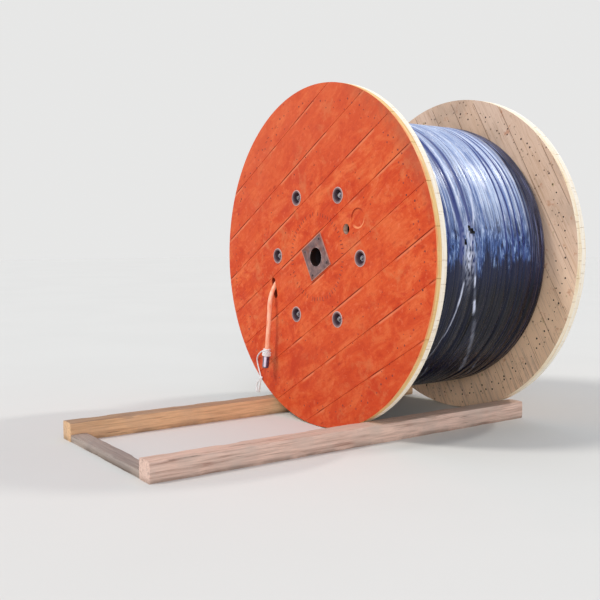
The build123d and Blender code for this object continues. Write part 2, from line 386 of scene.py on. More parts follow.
def painted_boards():
    look = Look("painted_boards", 0.55, specular=0.16)
    depth = look.parts(look.place)[1]
    along, across, middle, chance = board_places(look, BOARD_ANGLE, OUTER_BOARD, True, FACE_Y)
    grain, knot = grain_and_knots(look, along, across, depth, chance, 0.050)
    rim, reach, side_wall = rim_mask(look)
    clouds = look.drawn((along, depth, across), (3.4, 1, 6.4), 1.5, 8.0, 0.72, 0.6)
    thin = look.noise(8.0, 6.0, 0.7, 0.4)
    paint = paint_coat(look, along, across, depth, chance, grain, thin, clouds)
    paint, specks = paint_wear(look, paint, along, across, middle, knot)
    paint = paint_marks(look, paint, reach, thin)
    # The paint ends raggedly on the rim
    ragged = look.spread(look.noise(9.0, 4.0), -0.005, 0.006)
    edge = look.calc("ADD", look.calc("SUBTRACT", depth, FACE_Y), ragged)
    rim_tone = rim_wood(look, 2.0, (240, 202, 140), (216, 172, 112))
    rim_tone = look.tint(rim_tone, (look.span(edge, 0.003, 0.014, 0.85, 0.0), (238, 150, 92)))
    # The bore's walls take that painted shade at every depth
    in_bore = look.calc("LESS_THAN", reach, 0.08)
    past_paint = look.calc("MAXIMUM", look.span(depth, FACE_Y + 0.003, FACE_Y + 0.006), in_bore)
    in_hole = look.times(look.calc("SUBTRACT", side_wall, rim, clamp=True), past_paint)
    tone = look.blend(in_hole, paint, wood_in_holes(look, grain, reach))
    tone = look.blend(rim, tone, rim_tone)
    look.bump(grain, 0.0010, 0.5)
    look.bump(look.noise(90.0, 4.0), 0.0005, 0.5)
    look.bump(clouds, 0.0020, 0.5)
    look.bump(look.times(specks, -1.0), 0.002, 0.8)
    return look.done(tone, look.spread(look.noise(6.0, 4.0), 0.45, 0.68))


def bare_boards(name, angle, width, centred, y_middle, light, dark, rim_light, rim_dark, weather, painted_wall_shade=0.85,
                barrel_shade_and_slot_paint=False):
    """Unpainted boards with their rim, and the inside of their holes and seams, painted dark as shade by the
    share given.
    """
    look = Look(name, 0.7, specular=0.25)
    _, depth, height, _ = look.round_axle()
    along, across, middle, chance = board_places(look, angle, width, centred, y_middle)
    grain, knot = grain_and_knots(look, along, across, depth, chance, 0.075)
    rim, reach, side_wall = rim_mask(look)
    seam = look.span(look.calc("ABSOLUTE", middle), width / 2 - 0.006, width / 2 - 0.001)
    # Low down the boards are painted lighter, warmer and less grey: painted light where the lower flange lies
    # in shade
    low = look.times(look.span(height, 0.20, -0.45, 0.0, 0.68), look.span(grain, 0.38, 0.50, 0.25, 1.0))
    # Short dark streaks along the grain, small brown and mossy specks, rust stains
    streaks = look.drawn((along, chance, across), (9.0, 9.0, 280.0), 1.0, 4.0, 0.6)
    patches = look.noise(6.0, 4.0)
    specks = look.dots(look.place, 30.0, 0.11, 0.24)
    moss = look.dots(look.place, 21.0, 0.12, 0.26)
    stains = look.noise(15.0, 4.0, 0.6)
    tone = look.tint(
        pine(look, grain, knot, chance, light, dark, weather),
        (look.times(seam, 0.22), (120, 92, 72)),
        # Painted light low down
        (low, (255, 216, 178)),
        (look.span(streaks, 0.61, 0.69, 0.0, 0.75), (126, 80, 50)),
        (look.times(specks, look.span(patches, 0.50, 0.60, 0.0, 0.70)), (92, 58, 40)),
        (look.times(moss, look.span(patches, 0.46, 0.38, 0.0, 0.55)), (146, 132, 74)),
        (look.span(stains, 0.62, 0.72, 0.0, 0.50), (176, 98, 54)),
        # Painted shade on the walls of holes and seams
        (look.times(side_wall, painted_wall_shade), (40, 28, 24)),
    )
    if barrel_shade_and_slot_paint:
        # Inside the hollow barrel the wood is painted dark as shade, and the cable slot has paint blown in
        tone = look.tint(
            tone,
            (look.calc("LESS_THAN", reach, BARREL_INSIDE), (38, 30, 34)),
            (look.span(look.distance(SLOT_CENTRE), 0.145, 0.135), (120, 42, 28)),
        )
    tone = look.blend(rim, tone, rim_wood(look, 5.0 * y_middle, rim_light, rim_dark))
    look.bump(grain, 0.0012, 0.6)
    look.bump(look.noise(120.0, 3.0), 0.0004, 0.5)
    return look.done(tone, look.spread(grain, 0.62, 0.82))


def film_look():
    """Black stretch film: dark below; on the parts that look up, painted sky reflection and highlights over a
    little dust.
    """
    look = Look("black_film", 0.30, specular=0.28)
    turn, along, height, _ = look.round_axle()
    rise = look.calc("DIVIDE", height, FILM_RADIUS)

    def lines(turn_scale, along_scale, seed, *settings):
        """Noise that is drawn out round the drum."""
        return look.drawn((turn, along, seed), (turn_scale, along_scale, 1), 1.0, *settings)

    fine = lines(2.4, 150.0, 0.0, 5.0, 0.6)
    hoops = lines(0.9, 34.0, 5.0, 4.0, 0.6)
    mottle = lines(8.0, 44.0, 9.0, 6.0, 0.7, 0.7)
    hairs = lines(0.8, 210.0, 12.0, 3.0, 0.5)
    broad = lines(3.0, 13.0, 2.0, 3.0, 0.6)
    crinkle = lines(9.0, 36.0, 1.0, 6.0, 0.65, 0.8)

    # Below: near black, with pale hairlines and a bluish band near the top that are painted reflection
    dark = look.tint(
        look.ramp(hoops, (0.38, (1, 2, 12)), (0.66, (14, 20, 46))),
        (look.span(fine, 0.58, 0.74, 0.0, 0.20), (38, 46, 74)),
        (look.span(hairs, 0.64, 0.72, 0.0, 0.45), (96, 104, 128)),
        (look.span(rise, -0.30, -0.04, 0.0, 0.45), (36, 46, 84)),
    )
    # Above: dim and bright tones, pale patches and dark lines, all painted reflection of the sky, with a
    # little dust
    dim_sky_sheen = look.ramp(mottle, (0.40, (22, 30, 60)), (0.52, (62, 90, 148)), (0.64, (160, 186, 226)))
    bright = look.tint(
        look.ramp(hoops, (0.38, (110, 134, 184)), (0.60, (190, 206, 234))),
        (look.span(mottle, 0.52, 0.66, 0.0, 0.72), (230, 234, 246)),
        (look.span(fine, 0.54, 0.63, 0.0, 0.80), (58, 68, 136)),
        (look.span(hairs, 0.58, 0.65, 0.0, 0.82), (28, 32, 88)),
        (look.span(hairs, 0.40, 0.33, 0.0, 0.75), (246, 248, 255)),
    )
    sky_sheen_and_dust = look.blend(look.span(look.calc("MULTIPLY_ADD", mottle, 0.36, rise), 0.26, 0.58), dim_sky_sheen, bright)
    # The valleys between turns painted darker blue: painted shade and reflection
    sky_sheen_and_dust = look.tint(sky_sheen_and_dust, (look.span(look.attribute("valley"), 0.16, 0.58, 0.0, 0.90), (40, 54, 120)))
    # The last turns before the bare flange lie lower, and are painted darker there, with less painted sky
    # reflection
    shoulder = look.span(look.calc("MULTIPLY_ADD", mottle, 0.06, along), 1.000, 1.060, 0.0, 0.90)
    drawn_in = look.ramp(fine, (0.42, (7, 8, 20)), (0.54, (34, 36, 62)), (0.66, (132, 140, 182)))
    sky_sheen_and_dust = look.blend(shoulder, sky_sheen_and_dust, drawn_in)
    # The painted sky reflection ends at a ragged level about the axle's height
    ragged = look.calc("ADD", look.spread(fine, -0.07, 0.07), look.spread(broad, -0.09, 0.09))
    tone = look.blend(look.span(look.calc("ADD", rise, ragged), -0.05, 0.03), dark, sky_sheen_and_dust)
    # Folds and highlights painted pale: painted reflection
    tone = look.tint(tone, (look.attribute("pale"), (216, 222, 244)))

    look.bump(crinkle, 0.004, 0.4)
    look.bump(fine, 0.0010, 0.4)
    rough_low = look.spread(mottle, 0.16, 0.34)
    rough_high = look.spread(mottle, 0.20, 0.44)
    return look.done(tone, look.blend(look.span(rise, -0.05, 0.2), rough_low, rough_high))


def sheath_look():
    """The black sheath of the wound cable under the film."""
    look = Look("cable_sheath", 0.5, specular=0.3)
    scuffs = look.noise(18.0, 5.0, 0.65)
    look.bump(scuffs, 0.0006, 0.5)
    tone = look.ramp(scuffs, (0.35, (12, 12, 14)), (0.7, (34, 34, 38)))
    return look.done(tone, look.spread(scuffs, 0.40, 0.62))


def steel_look(name, light, dark, rust, rough_low, rough_high, metallic):
    look = Look(name, 0.5, metallic=metallic)
    patches = look.noise(22.0, 6.0, 0.65)
    stain = look.noise(9.0, 5.0, 0.7, 0.3)
    tone = look.ramp(patches, (0.35, dark), (0.65, light))
    tone = look.tint(tone, (look.span(stain, 0.52, 0.70, 0.0, 0.8), rust))
    look.bump(look.noise(260.0, 4.0), 0.0004, 0.6)
    look.bump(patches, 0.0006, 0.4)
    return look.done(tone, look.spread(patches, rough_low, rough_high))


def cup_look():
    """Pressed cups: a bright worn edge, a dull flange and an inside painted dark as shade."""
    look = Look("cup_steel", 0.5, metallic=0.12, specular=0.35)
    patches = look.noise(60.0, 5.0, 0.65)
    wavy = look.calc("MULTIPLY_ADD", patches, 0.10, look.calc("SUBTRACT", look.attribute("reach"), 0.05))
    # By reach from the cup's middle: the inside painted dark as shade, out to the flange and the worn edge
    tone = look.ramp(wavy, (0.50, (54, 40, 48)), (0.72, (84, 64, 72)), (0.79, (112, 88, 92)),
                     (0.90, (140, 112, 112)), (0.97, (206, 182, 176)))
    tone = look.tint(tone, (look.span(patches, 0.56, 0.70, 0.0, 0.6), (116, 66, 50)))
    look.bump(patches, 0.0006, 0.5)
    return look.done(tone, look.spread(patches, 0.35, 0.6))


def plate_look():
    """The steel plate round the bore: dull, brown with rust towards its corners, worn pale at its edges, with
    a painted highlight on the bore's lip and painted shade on its wall.
    """
    look = Look("plate_steel", 0.55, metallic=0.35)
    along, across = [look.calc("ABSOLUTE", value) for value in board_axes(look, BOARD_ANGLE, 0)]
    reach = look.round_axle()[3]
    patches = look.noise(26.0, 6.0, 0.68)
    stain = look.noise(11.0, 5.0, 0.7, 0.4)
    edge = look.calc("MAXIMUM", along, across)
    # A painted highlight on the lip round the bore
    worn = look.span(reach, BORE_RADIUS + 0.007, BORE_RADIUS + 0.002, 0.0, 0.50)
    tone = look.tint(
        look.ramp(patches, (0.34, (92, 70, 72)), (0.52, (132, 104, 102)), (0.68, (164, 128, 118))),
        (look.span(stain, 0.50, 0.66, 0.0, 0.7), (128, 76, 62)),
        (look.span(look.calc("ADD", along, across), 0.150, 0.200, 0.0, 0.60), (96, 46, 36)),
        (look.span(edge, PLATE_HALF - 0.006, PLATE_HALF - 0.002, 0.0, 0.60), (214, 160, 142)),
        # Painted highlight round the bore
        (look.times(worn, look.span(patches, 0.42, 0.56)), (210, 190, 190)),
        # Painted shade on the bore's wall
        (look.calc("LESS_THAN", reach, BORE_RADIUS + 0.0005), (30, 20, 22)),
    )
    look.bump(look.noise(260.0, 4.0), 0.0004, 0.6)
    look.bump(patches, 0.0008, 0.5)
    return look.done(tone, look.spread(patches, 0.42, 0.66))


def painted_cable():
    look = Look("painted_cable", 0.42)
    streaks = look.drawn(look.parts(look.place), (1, 1, 0.3), 60.0, 4.0)
    worn = look.noise(34.0, 5.0, 0.7)
    # The orange is painted paler than the flange's paint: painted light on the cable
    tone = look.ramp(streaks, (0.35, (248, 146, 106)), (0.6, (255, 190, 156)))
    look.bump(streaks, 0.0005, 0.4)
    return look.done(look.tint(tone, (look.span(worn, 0.66, 0.76, 0.0, 0.5), (150, 82, 64))))


def cap_look():
    """The shiny cap, with a painted highlight on its side away from the flange."""
    look = Look("cap_rubber", 0.2, coat=0.9, coat_roughness=0.06)
    patches = look.noise(40.0, 5.0, 0.6)
    highlight_side = look.measure("DOT_PRODUCT", look.geometry("Normal"), (0.62, -0.78, 0.0))
    tone = look.ramp(patches, (0.35, (46, 34, 58)), (0.7, (98, 82, 118)))
    # A painted highlight on the side away from the flange
    tone = look.tint(tone, (look.span(highlight_side, 0.86, 0.99, 0.0, 0.95), (240, 228, 246)))
    look.bump(patches, 0.0012, 0.5)
    return look.done(tone, look.spread(patches, 0.24, 0.46))


def cord_look():
    look = Look("white_cord", 0.8)
    weave = look.cells(look.place, 620.0, 0.6)
    dirt = look.noise(26.0, 5.0, 0.6)
    tone = look.ramp(weave, (0.0, (255, 252, 250)), (0.8, (226, 220, 220)))
    look.bump(weave, 0.0010, 0.9)
    return look.done(look.tint(tone, (look.span(dirt, 0.58, 0.78, 0.0, 0.4), (186, 172, 164))))


def painted_nail_look():
    look = Look("painted_nails", 0.55)
    patches = look.noise(40.0, 4.0)
    look.bump(patches, 0.0005, 0.5)
    return look.done(look.ramp(patches, (0.4, (104, 32, 24)), (0.65, (164, 54, 34))))


def timber_look(name, light, dark, grey, axis, top):
    """Sawn wood left outdoors, with its grain along X (0) or Y (1). The top tone darkens its upper sides as
    painted shade.
    """
    look = Look(name, 0.85, specular=0.2)
    parts = look.parts(look.place)

    def along_grain(grain_scale, cross_scale, *settings):
        scales = [grain_scale if index == axis else cross_scale for index in range(3)]
        return look.drawn(parts, scales, *settings)

    grain = along_grain(1.1, 30.0, 2.2, 7.0, 0.65, 0.3)
    cracks = look.span(along_grain(2.2, 60.0, 1.0, 3.0), 0.66, 0.72)
    weather = look.noise(3.4, 5.0, 0.6)
    tone = look.tint(
        look.ramp(grain, (0.30, dark), (0.56, light), (0.75, dark)),
        (look.span(weather, 0.40, 0.68, 0.0, 0.75), grey),
        (look.times(cracks, 0.75), (58, 42, 34)),
    )
    up = look.parts(look.geometry("True Normal"))[2]
    # Upper sides darkened by the top tone: painted shade
    tone = look.blend(look.span(up, 0.25, 0.9), tone, (*top, 1), "MULTIPLY")
    low = look.times(look.span(parts[2], 0.0, 0.035, 0.55, 0.0), look.span(weather, 0.3, 0.6))
    look.bump(grain, 0.003, 0.7)
    look.bump(look.times(cracks, -1.0), 0.004, 0.8)
    return look.done(look.tint(tone, (low, (84, 66, 50))))


def floor_look(colour):
    look = Look("floor", 0.9, specular=0.1)
    tone = shade(*colour)
    darker = (*[part * 0.985 for part in tone[:3]], 1.0)
    spots = look.noise(0.6, 4.0)
    return look.done(look.blend(look.span(spots, 0.4, 0.6, smooth=False), darker, tone))


PAINT = painted_boards()
FRONT_BARE = bare_boards("bare_boards_front", CROSS_ANGLE, INNER_BOARD, False, FACE_Y + 1.5 * PLY,
                         (220, 186, 152), (192, 150, 116), (254, 244, 226), (240, 220, 192), 0.30,
                         barrel_shade_and_slot_paint=True)
REAR_BARE = bare_boards("bare_boards_rear", CROSS_ANGLE, INNER_BOARD, False, REAR_INNER_Y,
                        (226, 196, 172), (200, 164, 136), (255, 240, 214), (238, 208, 160), 0.45,
                        painted_wall_shade=0.25, barrel_shade_and_slot_paint=True)
REAR_OUTER = bare_boards("bare_boards_outer", BOARD_ANGLE, OUTER_BOARD, True, REAR_FACE_Y,
                         (226, 196, 168), (198, 160, 130), (255, 246, 230), (244, 222, 188), 0.45, painted_wall_shade=0.45)
STAVES = bare_boards("bare_boards_staves", 0.0, INNER_BOARD, False, 0.6,
                     (216, 178, 134), (186, 144, 104), (236, 206, 150), (214, 174, 116), 0.2, barrel_shade_and_slot_paint=True)
FILM = film_look()
WOUND_SHEATH = sheath_look()
CUP_STEEL = cup_look()
ZINC = steel_look("zinc_steel", (150, 148, 156), (96, 92, 100), (108, 74, 60), 0.35, 0.6, 0.75)
PLATE = plate_look()
NUT_STEEL = steel_look("nut_steel", (204, 198, 214), (128, 116, 130), (124, 84, 76), 0.35, 0.6, 0.45)
FIXING = steel_look("fixing_steel", (112, 98, 100), (52, 42, 46), (90, 54, 44), 0.3, 0.55, 0.6)
BOLT = steel_look("bolt_steel", (176, 170, 168), (104, 96, 98), (120, 76, 54), 0.3, 0.55, 0.8)
NAIL = steel_look("nail_steel", (58, 38, 30), (30, 19, 16), (70, 38, 26), 0.6, 0.85, 0.1)
PAINTED_NAIL = painted_nail_look()
SHEATH = painted_cable()
CAP = cap_look()
CORD = cord_look()
NEAR_WOOD = timber_look("weathered_timber", (238, 204, 186), (162, 126, 110), (206, 184, 170), 1,
                        (0.86, 0.84, 0.80))
FAR_WOOD = timber_look("tan_timber", (234, 192, 148), (178, 138, 104), (204, 170, 138), 1,
                       (0.54, 0.54, 0.58))
GREY_WOOD = timber_look("grey_board", (178, 162, 150), (118, 104, 96), (150, 138, 132), 0,
                        (0.9, 0.88, 0.86))


# Mesh helpers


def finish_piece(obj, material, replaced=()):
    obj.data.materials.clear()
    obj.data.materials.append(material)
    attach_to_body(obj, "root")
    if replaced:
        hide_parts(*replaced)
    return obj


def mesh_piece(name, parts, material, replaced=(), sharp=35.0):
    """One object from a list of (points, faces) pairs."""
    points = []
    faces = []
    for part_points, part_faces in parts:
        first = len(points)
        points += [tuple(point) for point in part_points]
        faces += [tuple(first + index for index in face) for face in part_faces]
    mesh = bpy.data.meshes.new(name)
    mesh.from_pydata(points, [], faces)
    mesh.validate()
    mesh.shade_smooth()
    mesh.set_sharp_from_angle(angle=math.radians(sharp))
    return finish_piece(link(name, mesh), material, replaced)


def attach(piece, name, values):
    """A number for each point of a mesh, which its material reads."""
    layer = piece.data.attributes.new(name, "FLOAT", "POINT")
    layer.data.foreach_set("value", values)


def circles(rings, sides, place):
    """Points of circles round Z from (radius, height) pairs, placed."""
    points = []
    for radius, height in rings:
        for step in range(sides):
            angle = 2 * math.pi * step / sides
            points.append(place @ Vector((radius * math.cos(angle), radius * math.sin(angle), height)))
    return points


def bands(rings, sides, closed=False):
    """Faces between rings of points that follow each other. Closed, the last ring meets the first."""
    faces = []
    for ring in range(rings if closed else rings - 1):
        low = ring * sides
        high = (ring + 1) % rings * sides
        for step in range(sides):
            after = (step + 1) % sides
            faces.append((low + step, low + after, high + after, high + step))
    return faces


def capped(rings, sides):
    """The faces between rings, with both ends shut."""
    last = (rings - 1) * sides
    return bands(rings, sides) + [tuple(range(last, last + sides)), tuple(reversed(range(sides)))]


def lathe(profile, segments, place):
    """A closed ring turned about Z from (radius, height) pairs given anticlockwise, then placed."""
    return circles(profile, segments, place), bands(len(profile), segments, True)


def solid_of_rings(rings, sides, place):
    """A solid turned about Z from its lowest ring to its highest, then placed."""
    return circles(rings, sides, place), capped(len(rings), sides)


def dome(radius, height, sides, place):
    """A low round head that stands on z = 0."""
    rings = ((radius, 0.0), (radius * 0.92, height * 0.6), (radius * 0.55, height))
    return solid_of_rings(rings, sides, place)


def facing(x, y, z, front=True, spin=0.0):
    """A place on a flange whose local Z points away from the wood."""
    turn = Matrix.Rotation(math.radians(90 if front else -90), 4, "X")
    return Matrix.Translation((x, y, z)) @ turn @ Matrix.Rotation(spin, 4, "Z")


def on_face(reach, angle, y, front=True, spin=0.0):
    """A place on a flange at a distance and an angle from the axle."""
    return facing(reach * math.cos(angle), y, AXLE_Z + reach * math.sin(angle), front, spin)


# Cords

CABLE_ROUTE = [(-0.466, 0.070, -0.130), (-0.435, -0.039, -0.207), (-0.430, -0.052, -0.429),
               (-0.453, -0.057, -0.632)]
TIE_ROUTE = [(-0.469, -0.060, -0.594), (-0.560, -0.034, -0.618), (-0.652, -0.005, -0.668),
             (-0.628, -0.005, -0.730), (-0.592, -0.0075, -0.792), (-0.606, -0.009, -0.838),
             (-0.618, -0.009, -0.882)]
LOOSE_ROUTE = [(-0.592, -0.0075, -0.792), (-0.622, -0.012, -0.815), (-0.643, -0.012, -0.850),
               (-0.636, -0.012, -0.886)]
CABLE_DIAMETER = 0.0285
CORD_DIAMETER = 0.009
KNOT_STRAND = 0.0076
FIBRES = 32
CAP_PROFILE = [(0.0146, -0.030), (0.0182, -0.0305), (0.0196, -0.026), (0.0190, -0.012), (0.0206, -0.002),
               (0.0212, 0.018), (0.0208, 0.040), (0.0212, 0.058), (0.0206, 0.067), (0.0180, 0.0735),
               (0.0120, 0.0755), (0.0030, 0.0750), (0.0030, 0.0738), (0.0146, 0.0715)]
# Turns of the cord: (distance back from the cable's end, radius inside the turn)
CORD_TURNS = ((0.0436, 0.0143), (0.0348, 0.0143), (0.0250, 0.0197), (0.0160, 0.0192), (0.0070, 0.0199))


def in_row(point):
    return Vector((point[0], FACE_Y + point[1], AXLE_Z + point[2]))


def end_of(route):
    """A place at a route's end whose local Z goes on the way that the route came."""
    end = in_row(route[-1])
    way = (end - in_row(route[-2])).normalized()
    return Matrix.Translation(end) @ way.to_track_quat("Z", "Y").to_matrix().to_4x4()


def round_line(name, points, diameter, smooth_along, smooth_round):
    """A round curve with one NURBS spline."""
    curve = bpy.data.curves.new(name, "CURVE")
    curve.dimensions = "3D"
    curve.resolution_u = smooth_along
    curve.bevel_depth = diameter / 2
    curve.bevel_resolution = smooth_round
    spline = curve.splines.new("NURBS")
    spline.points.add(len(points) - 1)
    for spline_point, point in zip(spline.points, points):
        spline_point.co = (*point, 1.0)
    return curve, spline


def cord_piece(name, route, diameter, material, replaced):
    curve, spline = round_line(name, [in_row(point) for point in route], diameter, 16, 5)
    curve.use_fill_caps = True
    spline.order_u = 3
    spline.use_endpoint_u = True
    return finish_piece(link(name, curve), material, [replaced])


def cord_turns():
    """Turns of the cord round the cable's end and over the top of its cap."""
    half = CORD_DIAMETER / 2
    steps = 10
    parts = []
    for back, inner in CORD_TURNS:
        profile = []
        for step in range(steps):
            angle = 2 * math.pi * step / steps
            profile.append((inner + half + half * math.cos(angle), half * math.sin(angle) - back))
        parts.append(lathe(profile, 40, end_of(CABLE_ROUTE)))
    return mesh_piece("tie_cord_turns", parts, CORD, ["tie_cord"], 80)


def knot():
    """A small overhand knot where the loose end leaves the strand."""
    middle = in_row(LOOSE_ROUTE[0])
    count = 24
    points = []
    for index in range(count):
        turn = 2 * math.pi * index / count
        reach = 0.0034 * (2 + math.cos(3 * turn))
        lift = 0.0028 * math.sin(3 * turn) - 0.0008
        points.append(middle + Vector((reach * math.cos(2 * turn), lift, reach * math.sin(2 * turn))))
    curve, spline = round_line("tie_cord_knot", points, KNOT_STRAND, 8, 3)
    spline.order_u = 4
    spline.use_cyclic_u = True
    return finish_piece(link("tie_cord_knot", curve), CORD, ["tie_cord"])


def fibre(chance, place):
    """One loose fibre of a cut cord, from inside the cord to past its end."""
    angle = chance.uniform(0, 2 * math.pi)
    spread = chance.uniform(0.2, 1.0)
    length = chance.uniform(0.030, 0.044)
    steps = 5
    sides = 5
    points = []
    for step in range(steps + 1):
        part = step / steps
        reach = 0.0040 + 0.0052 * spread * part**1.6
        bend = angle + 0.5 * part * chance.uniform(-1, 1)
        thick = 0.0014 * (1 - 0.35 * part)
        middle = Matrix.Translation((reach * math.cos(bend), reach * math.sin(bend), length * part - 0.034))
        points += circles([(thick, 0.0)], sides, place @ middle)
    return points, capped(steps + 1, sides)


def frayed_end(name, route, seed):
    """Loose white fibres where a cut end of the cord has opened."""
    chance = random.Random(seed)
    parts = [fibre(chance, end_of(route)) for index in range(FIBRES)]
    return mesh_piece(name, parts, CORD, (), 60)


tail = cord_piece("cable_tail_painted", CABLE_ROUTE, CABLE_DIAMETER, SHEATH, "cable_tail")
cap_part = lathe(CAP_PROFILE, 40, end_of(CABLE_ROUTE))
cap = mesh_piece("cable_end_cap_shrunk", [cap_part], CAP, ["cable_end_cap"], 60)
strand = cord_piece("tie_cord_strand", TIE_ROUTE, CORD_DIAMETER, CORD, "tie_cord")
loose = cord_piece("tie_cord_loose_end", LOOSE_ROUTE, CORD_DIAMETER, CORD, "tie_cord")
turns = cord_turns()
tied_knot = knot()
strand_fray = frayed_end("tie_cord_strand_fray", TIE_ROUTE, 51)
loose_fray = frayed_end("tie_cord_loose_fray", LOOSE_ROUTE, 52)


# Steel

ROD_CIRCLE = 0.40602
ROD_COUNT = 6
CUP_SEGMENTS = 44
CUP_RIM_RADIUS = 0.047
CUP_FLOOR_DEPTH = 0.031
NUT_TOP_DEPTH = 0.015
NUT_HALF_WIDTH = 0.015
FIXING_REACH = 0.112
CUP_PROFILE = [(0.0110, -0.0350), (0.0310, -0.0350), (0.0332, -0.0330), (0.0340, -0.0290), (0.0340, 0.0),
               (0.0462, 0.0), (CUP_RIM_RADIUS, 0.0010), (0.0466, 0.0024), (0.0448, 0.0030),
               (0.0400, 0.0029), (0.0345, 0.0020), (0.0318, -0.0010), (0.0302, -0.0080),
               (0.0270, -0.0250), (0.0240, -0.0300), (0.0200, -0.0310), (0.0110, -0.0310)]


def at_rods(y, front, depth=0.0, spins=(0.0,) * ROD_COUNT):
    """A place at each rod, a depth below a flange's face."""
    inward = depth if front else -depth
    places = []
    for index, spin in enumerate(spins):
        places.append(on_face(ROD_CIRCLE, 2 * math.pi * index / ROD_COUNT, y + inward, front, spin))
    return places


def cups(name, y, front, replaced):
    parts = [lathe(CUP_PROFILE, CUP_SEGMENTS, place) for place in at_rods(y, front)]
    pressed = mesh_piece(name, parts, CUP_STEEL, [replaced], 50)
    reaches = [radius / CUP_RIM_RADIUS for radius, height in CUP_PROFILE for step in range(CUP_SEGMENTS)]
    attach(pressed, "reach", reaches * ROD_COUNT)


def hex_nut(place):
    """A nut with chamfered corners and an open bore."""
    across = NUT_HALF_WIDTH / math.cos(math.pi / 6)
    rings = ((0.0100, 0.0), (across, 0.0), (across, 0.0148), (NUT_HALF_WIDTH, 0.0160), (0.0104, 0.0160),
             (0.0100, 0.0154))
    sides = 24
    points = []
    for radius, height in rings:
        for step in range(sides):
            angle = 2 * math.pi * step / sides
            reach = radius
            if radius == across:
                reach = NUT_HALF_WIDTH / math.cos(angle % (math.pi / 3) - math.pi / 6)
            points.append(place @ Vector((reach * math.cos(angle), reach * math.sin(angle), height)))
    return points, bands(len(rings), sides, True)


def rod_end(place):
    """The threaded end of a rod, standing out of its nut."""
    crest = 0.0098
    pitch = 0.0016
    rings = [(crest, -0.002)]
    for index in range(5):
        rings.append((crest, 0.0004 + index * pitch))
        rings.append((0.0088, 0.0012 + index * pitch))
    rings.append((0.0080, 0.0086))
    return solid_of_rings(rings, 20, place)


def nuts(name, y, front, replaced, seed):
    chance = random.Random(seed)
    spins = [chance.uniform(0, 1) for index in range(ROD_COUNT)]
    parts = [hex_nut(place) for place in at_rods(y, front, CUP_FLOOR_DEPTH, spins)]
    mesh_piece(name, parts, NUT_STEEL, [replaced], 28)


def rod_ends(name, y, front):
    parts = [rod_end(place) for place in at_rods(y, front, NUT_TOP_DEPTH)]
    mesh_piece(name, parts, BOLT, (), 50)


def plate_fixings():
    parts = []
    for index in range(4):
        place = on_face(FIXING_REACH, BOARD_ANGLE + math.radians(45 + 90 * index), FACE_Y - PLATE_THICKNESS)
        parts.append(dome(0.008, 0.004, 18, place))
    mesh_piece("plate_fixings_round", parts, FIXING, ["plate_fixings"], 50)


cups("front_cups_pressed", FACE_Y, True, "front_cups")
cups("rear_cups_pressed", REAR_FACE_Y, False, "rear_cups")
nuts("front_nuts_hex", FACE_Y, True, "front_nuts", 3)
nuts("rear_nuts_hex", REAR_FACE_Y, False, "rear_nuts", 4)
rod_ends("front_rod_ends", FACE_Y, True)
rod_ends("rear_rod_ends", REAR_FACE_Y, False)
plate_fixings()


# Nails and the ring of short marks

NAIL_HEIGHT = 0.0007
HUB_RING = 0.250
HUB_MARKS = 62
MARK_HALF_LENGTH = 0.011
MARK_HALF_WIDTH = 0.0022
MARK_HEIGHT = 0.0012
# For each row of nails: lowest and highest distance from the axle, count, seed, size, share left out
REAR_INNER_NAILS = ((0.900, 0.925, 105, 11, 0.0052, 0.0), (0.860, 0.895, 62, 12, 0.0052, 0.2),
                    (0.832, 0.858, 30, 13, 0.0046, 0.5))
REAR_OUTER_NAILS = ((0.900, 0.925, 105, 14, 0.0042, 0.0), (0.500, 0.530, 50, 15, 0.0042, 0.0))
FRONT_INNER_NAILS = ((0.900, 0.925, 105, 16, 0.0042, 0.0),)
FRONT_NAILS = ((0.885, 0.925, 110, 21, 0.0050, 0.10), (0.840, 0.880, 64, 22, 0.0046, 0.25),
               (0.500, 0.620, 60, 23, 0.0042, 0.30))


def nails(name, y, front, rows, material):
    parts = []
    for radius_low, radius_high, count, seed, size, skip in rows:
        chance = random.Random(seed)
        for index in range(count):
            angle = 2 * math.pi * (index + chance.uniform(-0.25, 0.25)) / count
            reach = chance.uniform(radius_low, radius_high)
            scale = chance.uniform(0.6, 1.25)
            if chance.random() >= skip:
                parts.append(dome(size * scale, NAIL_HEIGHT, 8, on_face(reach, angle, y, front)))
    mesh_piece(name, parts, material)


def hub_marks():
    """Short radial marks round the hub, as thin raised lips in the paint."""
    chance = random.Random(31)
    parts = []
    for index in range(HUB_MARKS):
        angle = 2 * math.pi * (index + chance.uniform(-0.12, 0.12)) / HUB_MARKS
        if chance.random() < 0.12:
            continue
        reach = HUB_RING + chance.uniform(-0.004, 0.004)
        half_length = MARK_HALF_LENGTH * chance.uniform(0.75, 1.2)
        place = on_face(reach, angle, FACE_Y, True, angle + chance.uniform(-0.12, 0.12))
        low = [(x * half_length, y * MARK_HALF_WIDTH, 0) for x, y in ((-1, -1), (1, -1), (1, 1), (-1, 1))]
        high = [(x * 0.86, y * 0.55, MARK_HEIGHT) for x, y, z in low]
        parts.append(([place @ Vector(point) for point in low + high], capped(2, 4)))
    mesh_piece("hub_marks", parts, PAINTED_NAIL)


nails("rear_inner_nails", REAR_INNER_Y, True, REAR_INNER_NAILS, NAIL)
nails("rear_outer_nails", REAR_FACE_Y, False, REAR_OUTER_NAILS, NAIL)
nails("front_inner_nails", FRONT_INNER_Y, False, FRONT_INNER_NAILS, NAIL)
nails("front_face_nails", FACE_Y, True, FRONT_NAILS, PAINTED_NAIL)
hub_marks()


# The wound cable and the film over it

# Where film and cable pull in: (distance from the flange at which a third is left, depth at the flange)
FRONT_SHOULDER = (0.030, 0.014)
REAR_SHOULDER = (0.038, 0.0515)
FILM_OVER_CABLE = 0.0095
FIRST_TURN_DROP = 0.045
LAST_TURN_DROP = 0.080
DEEPEST_VALLEY = 0.0070
FILM_STEPS_ROUND = 340
FILM_STEPS_ALONG = 290
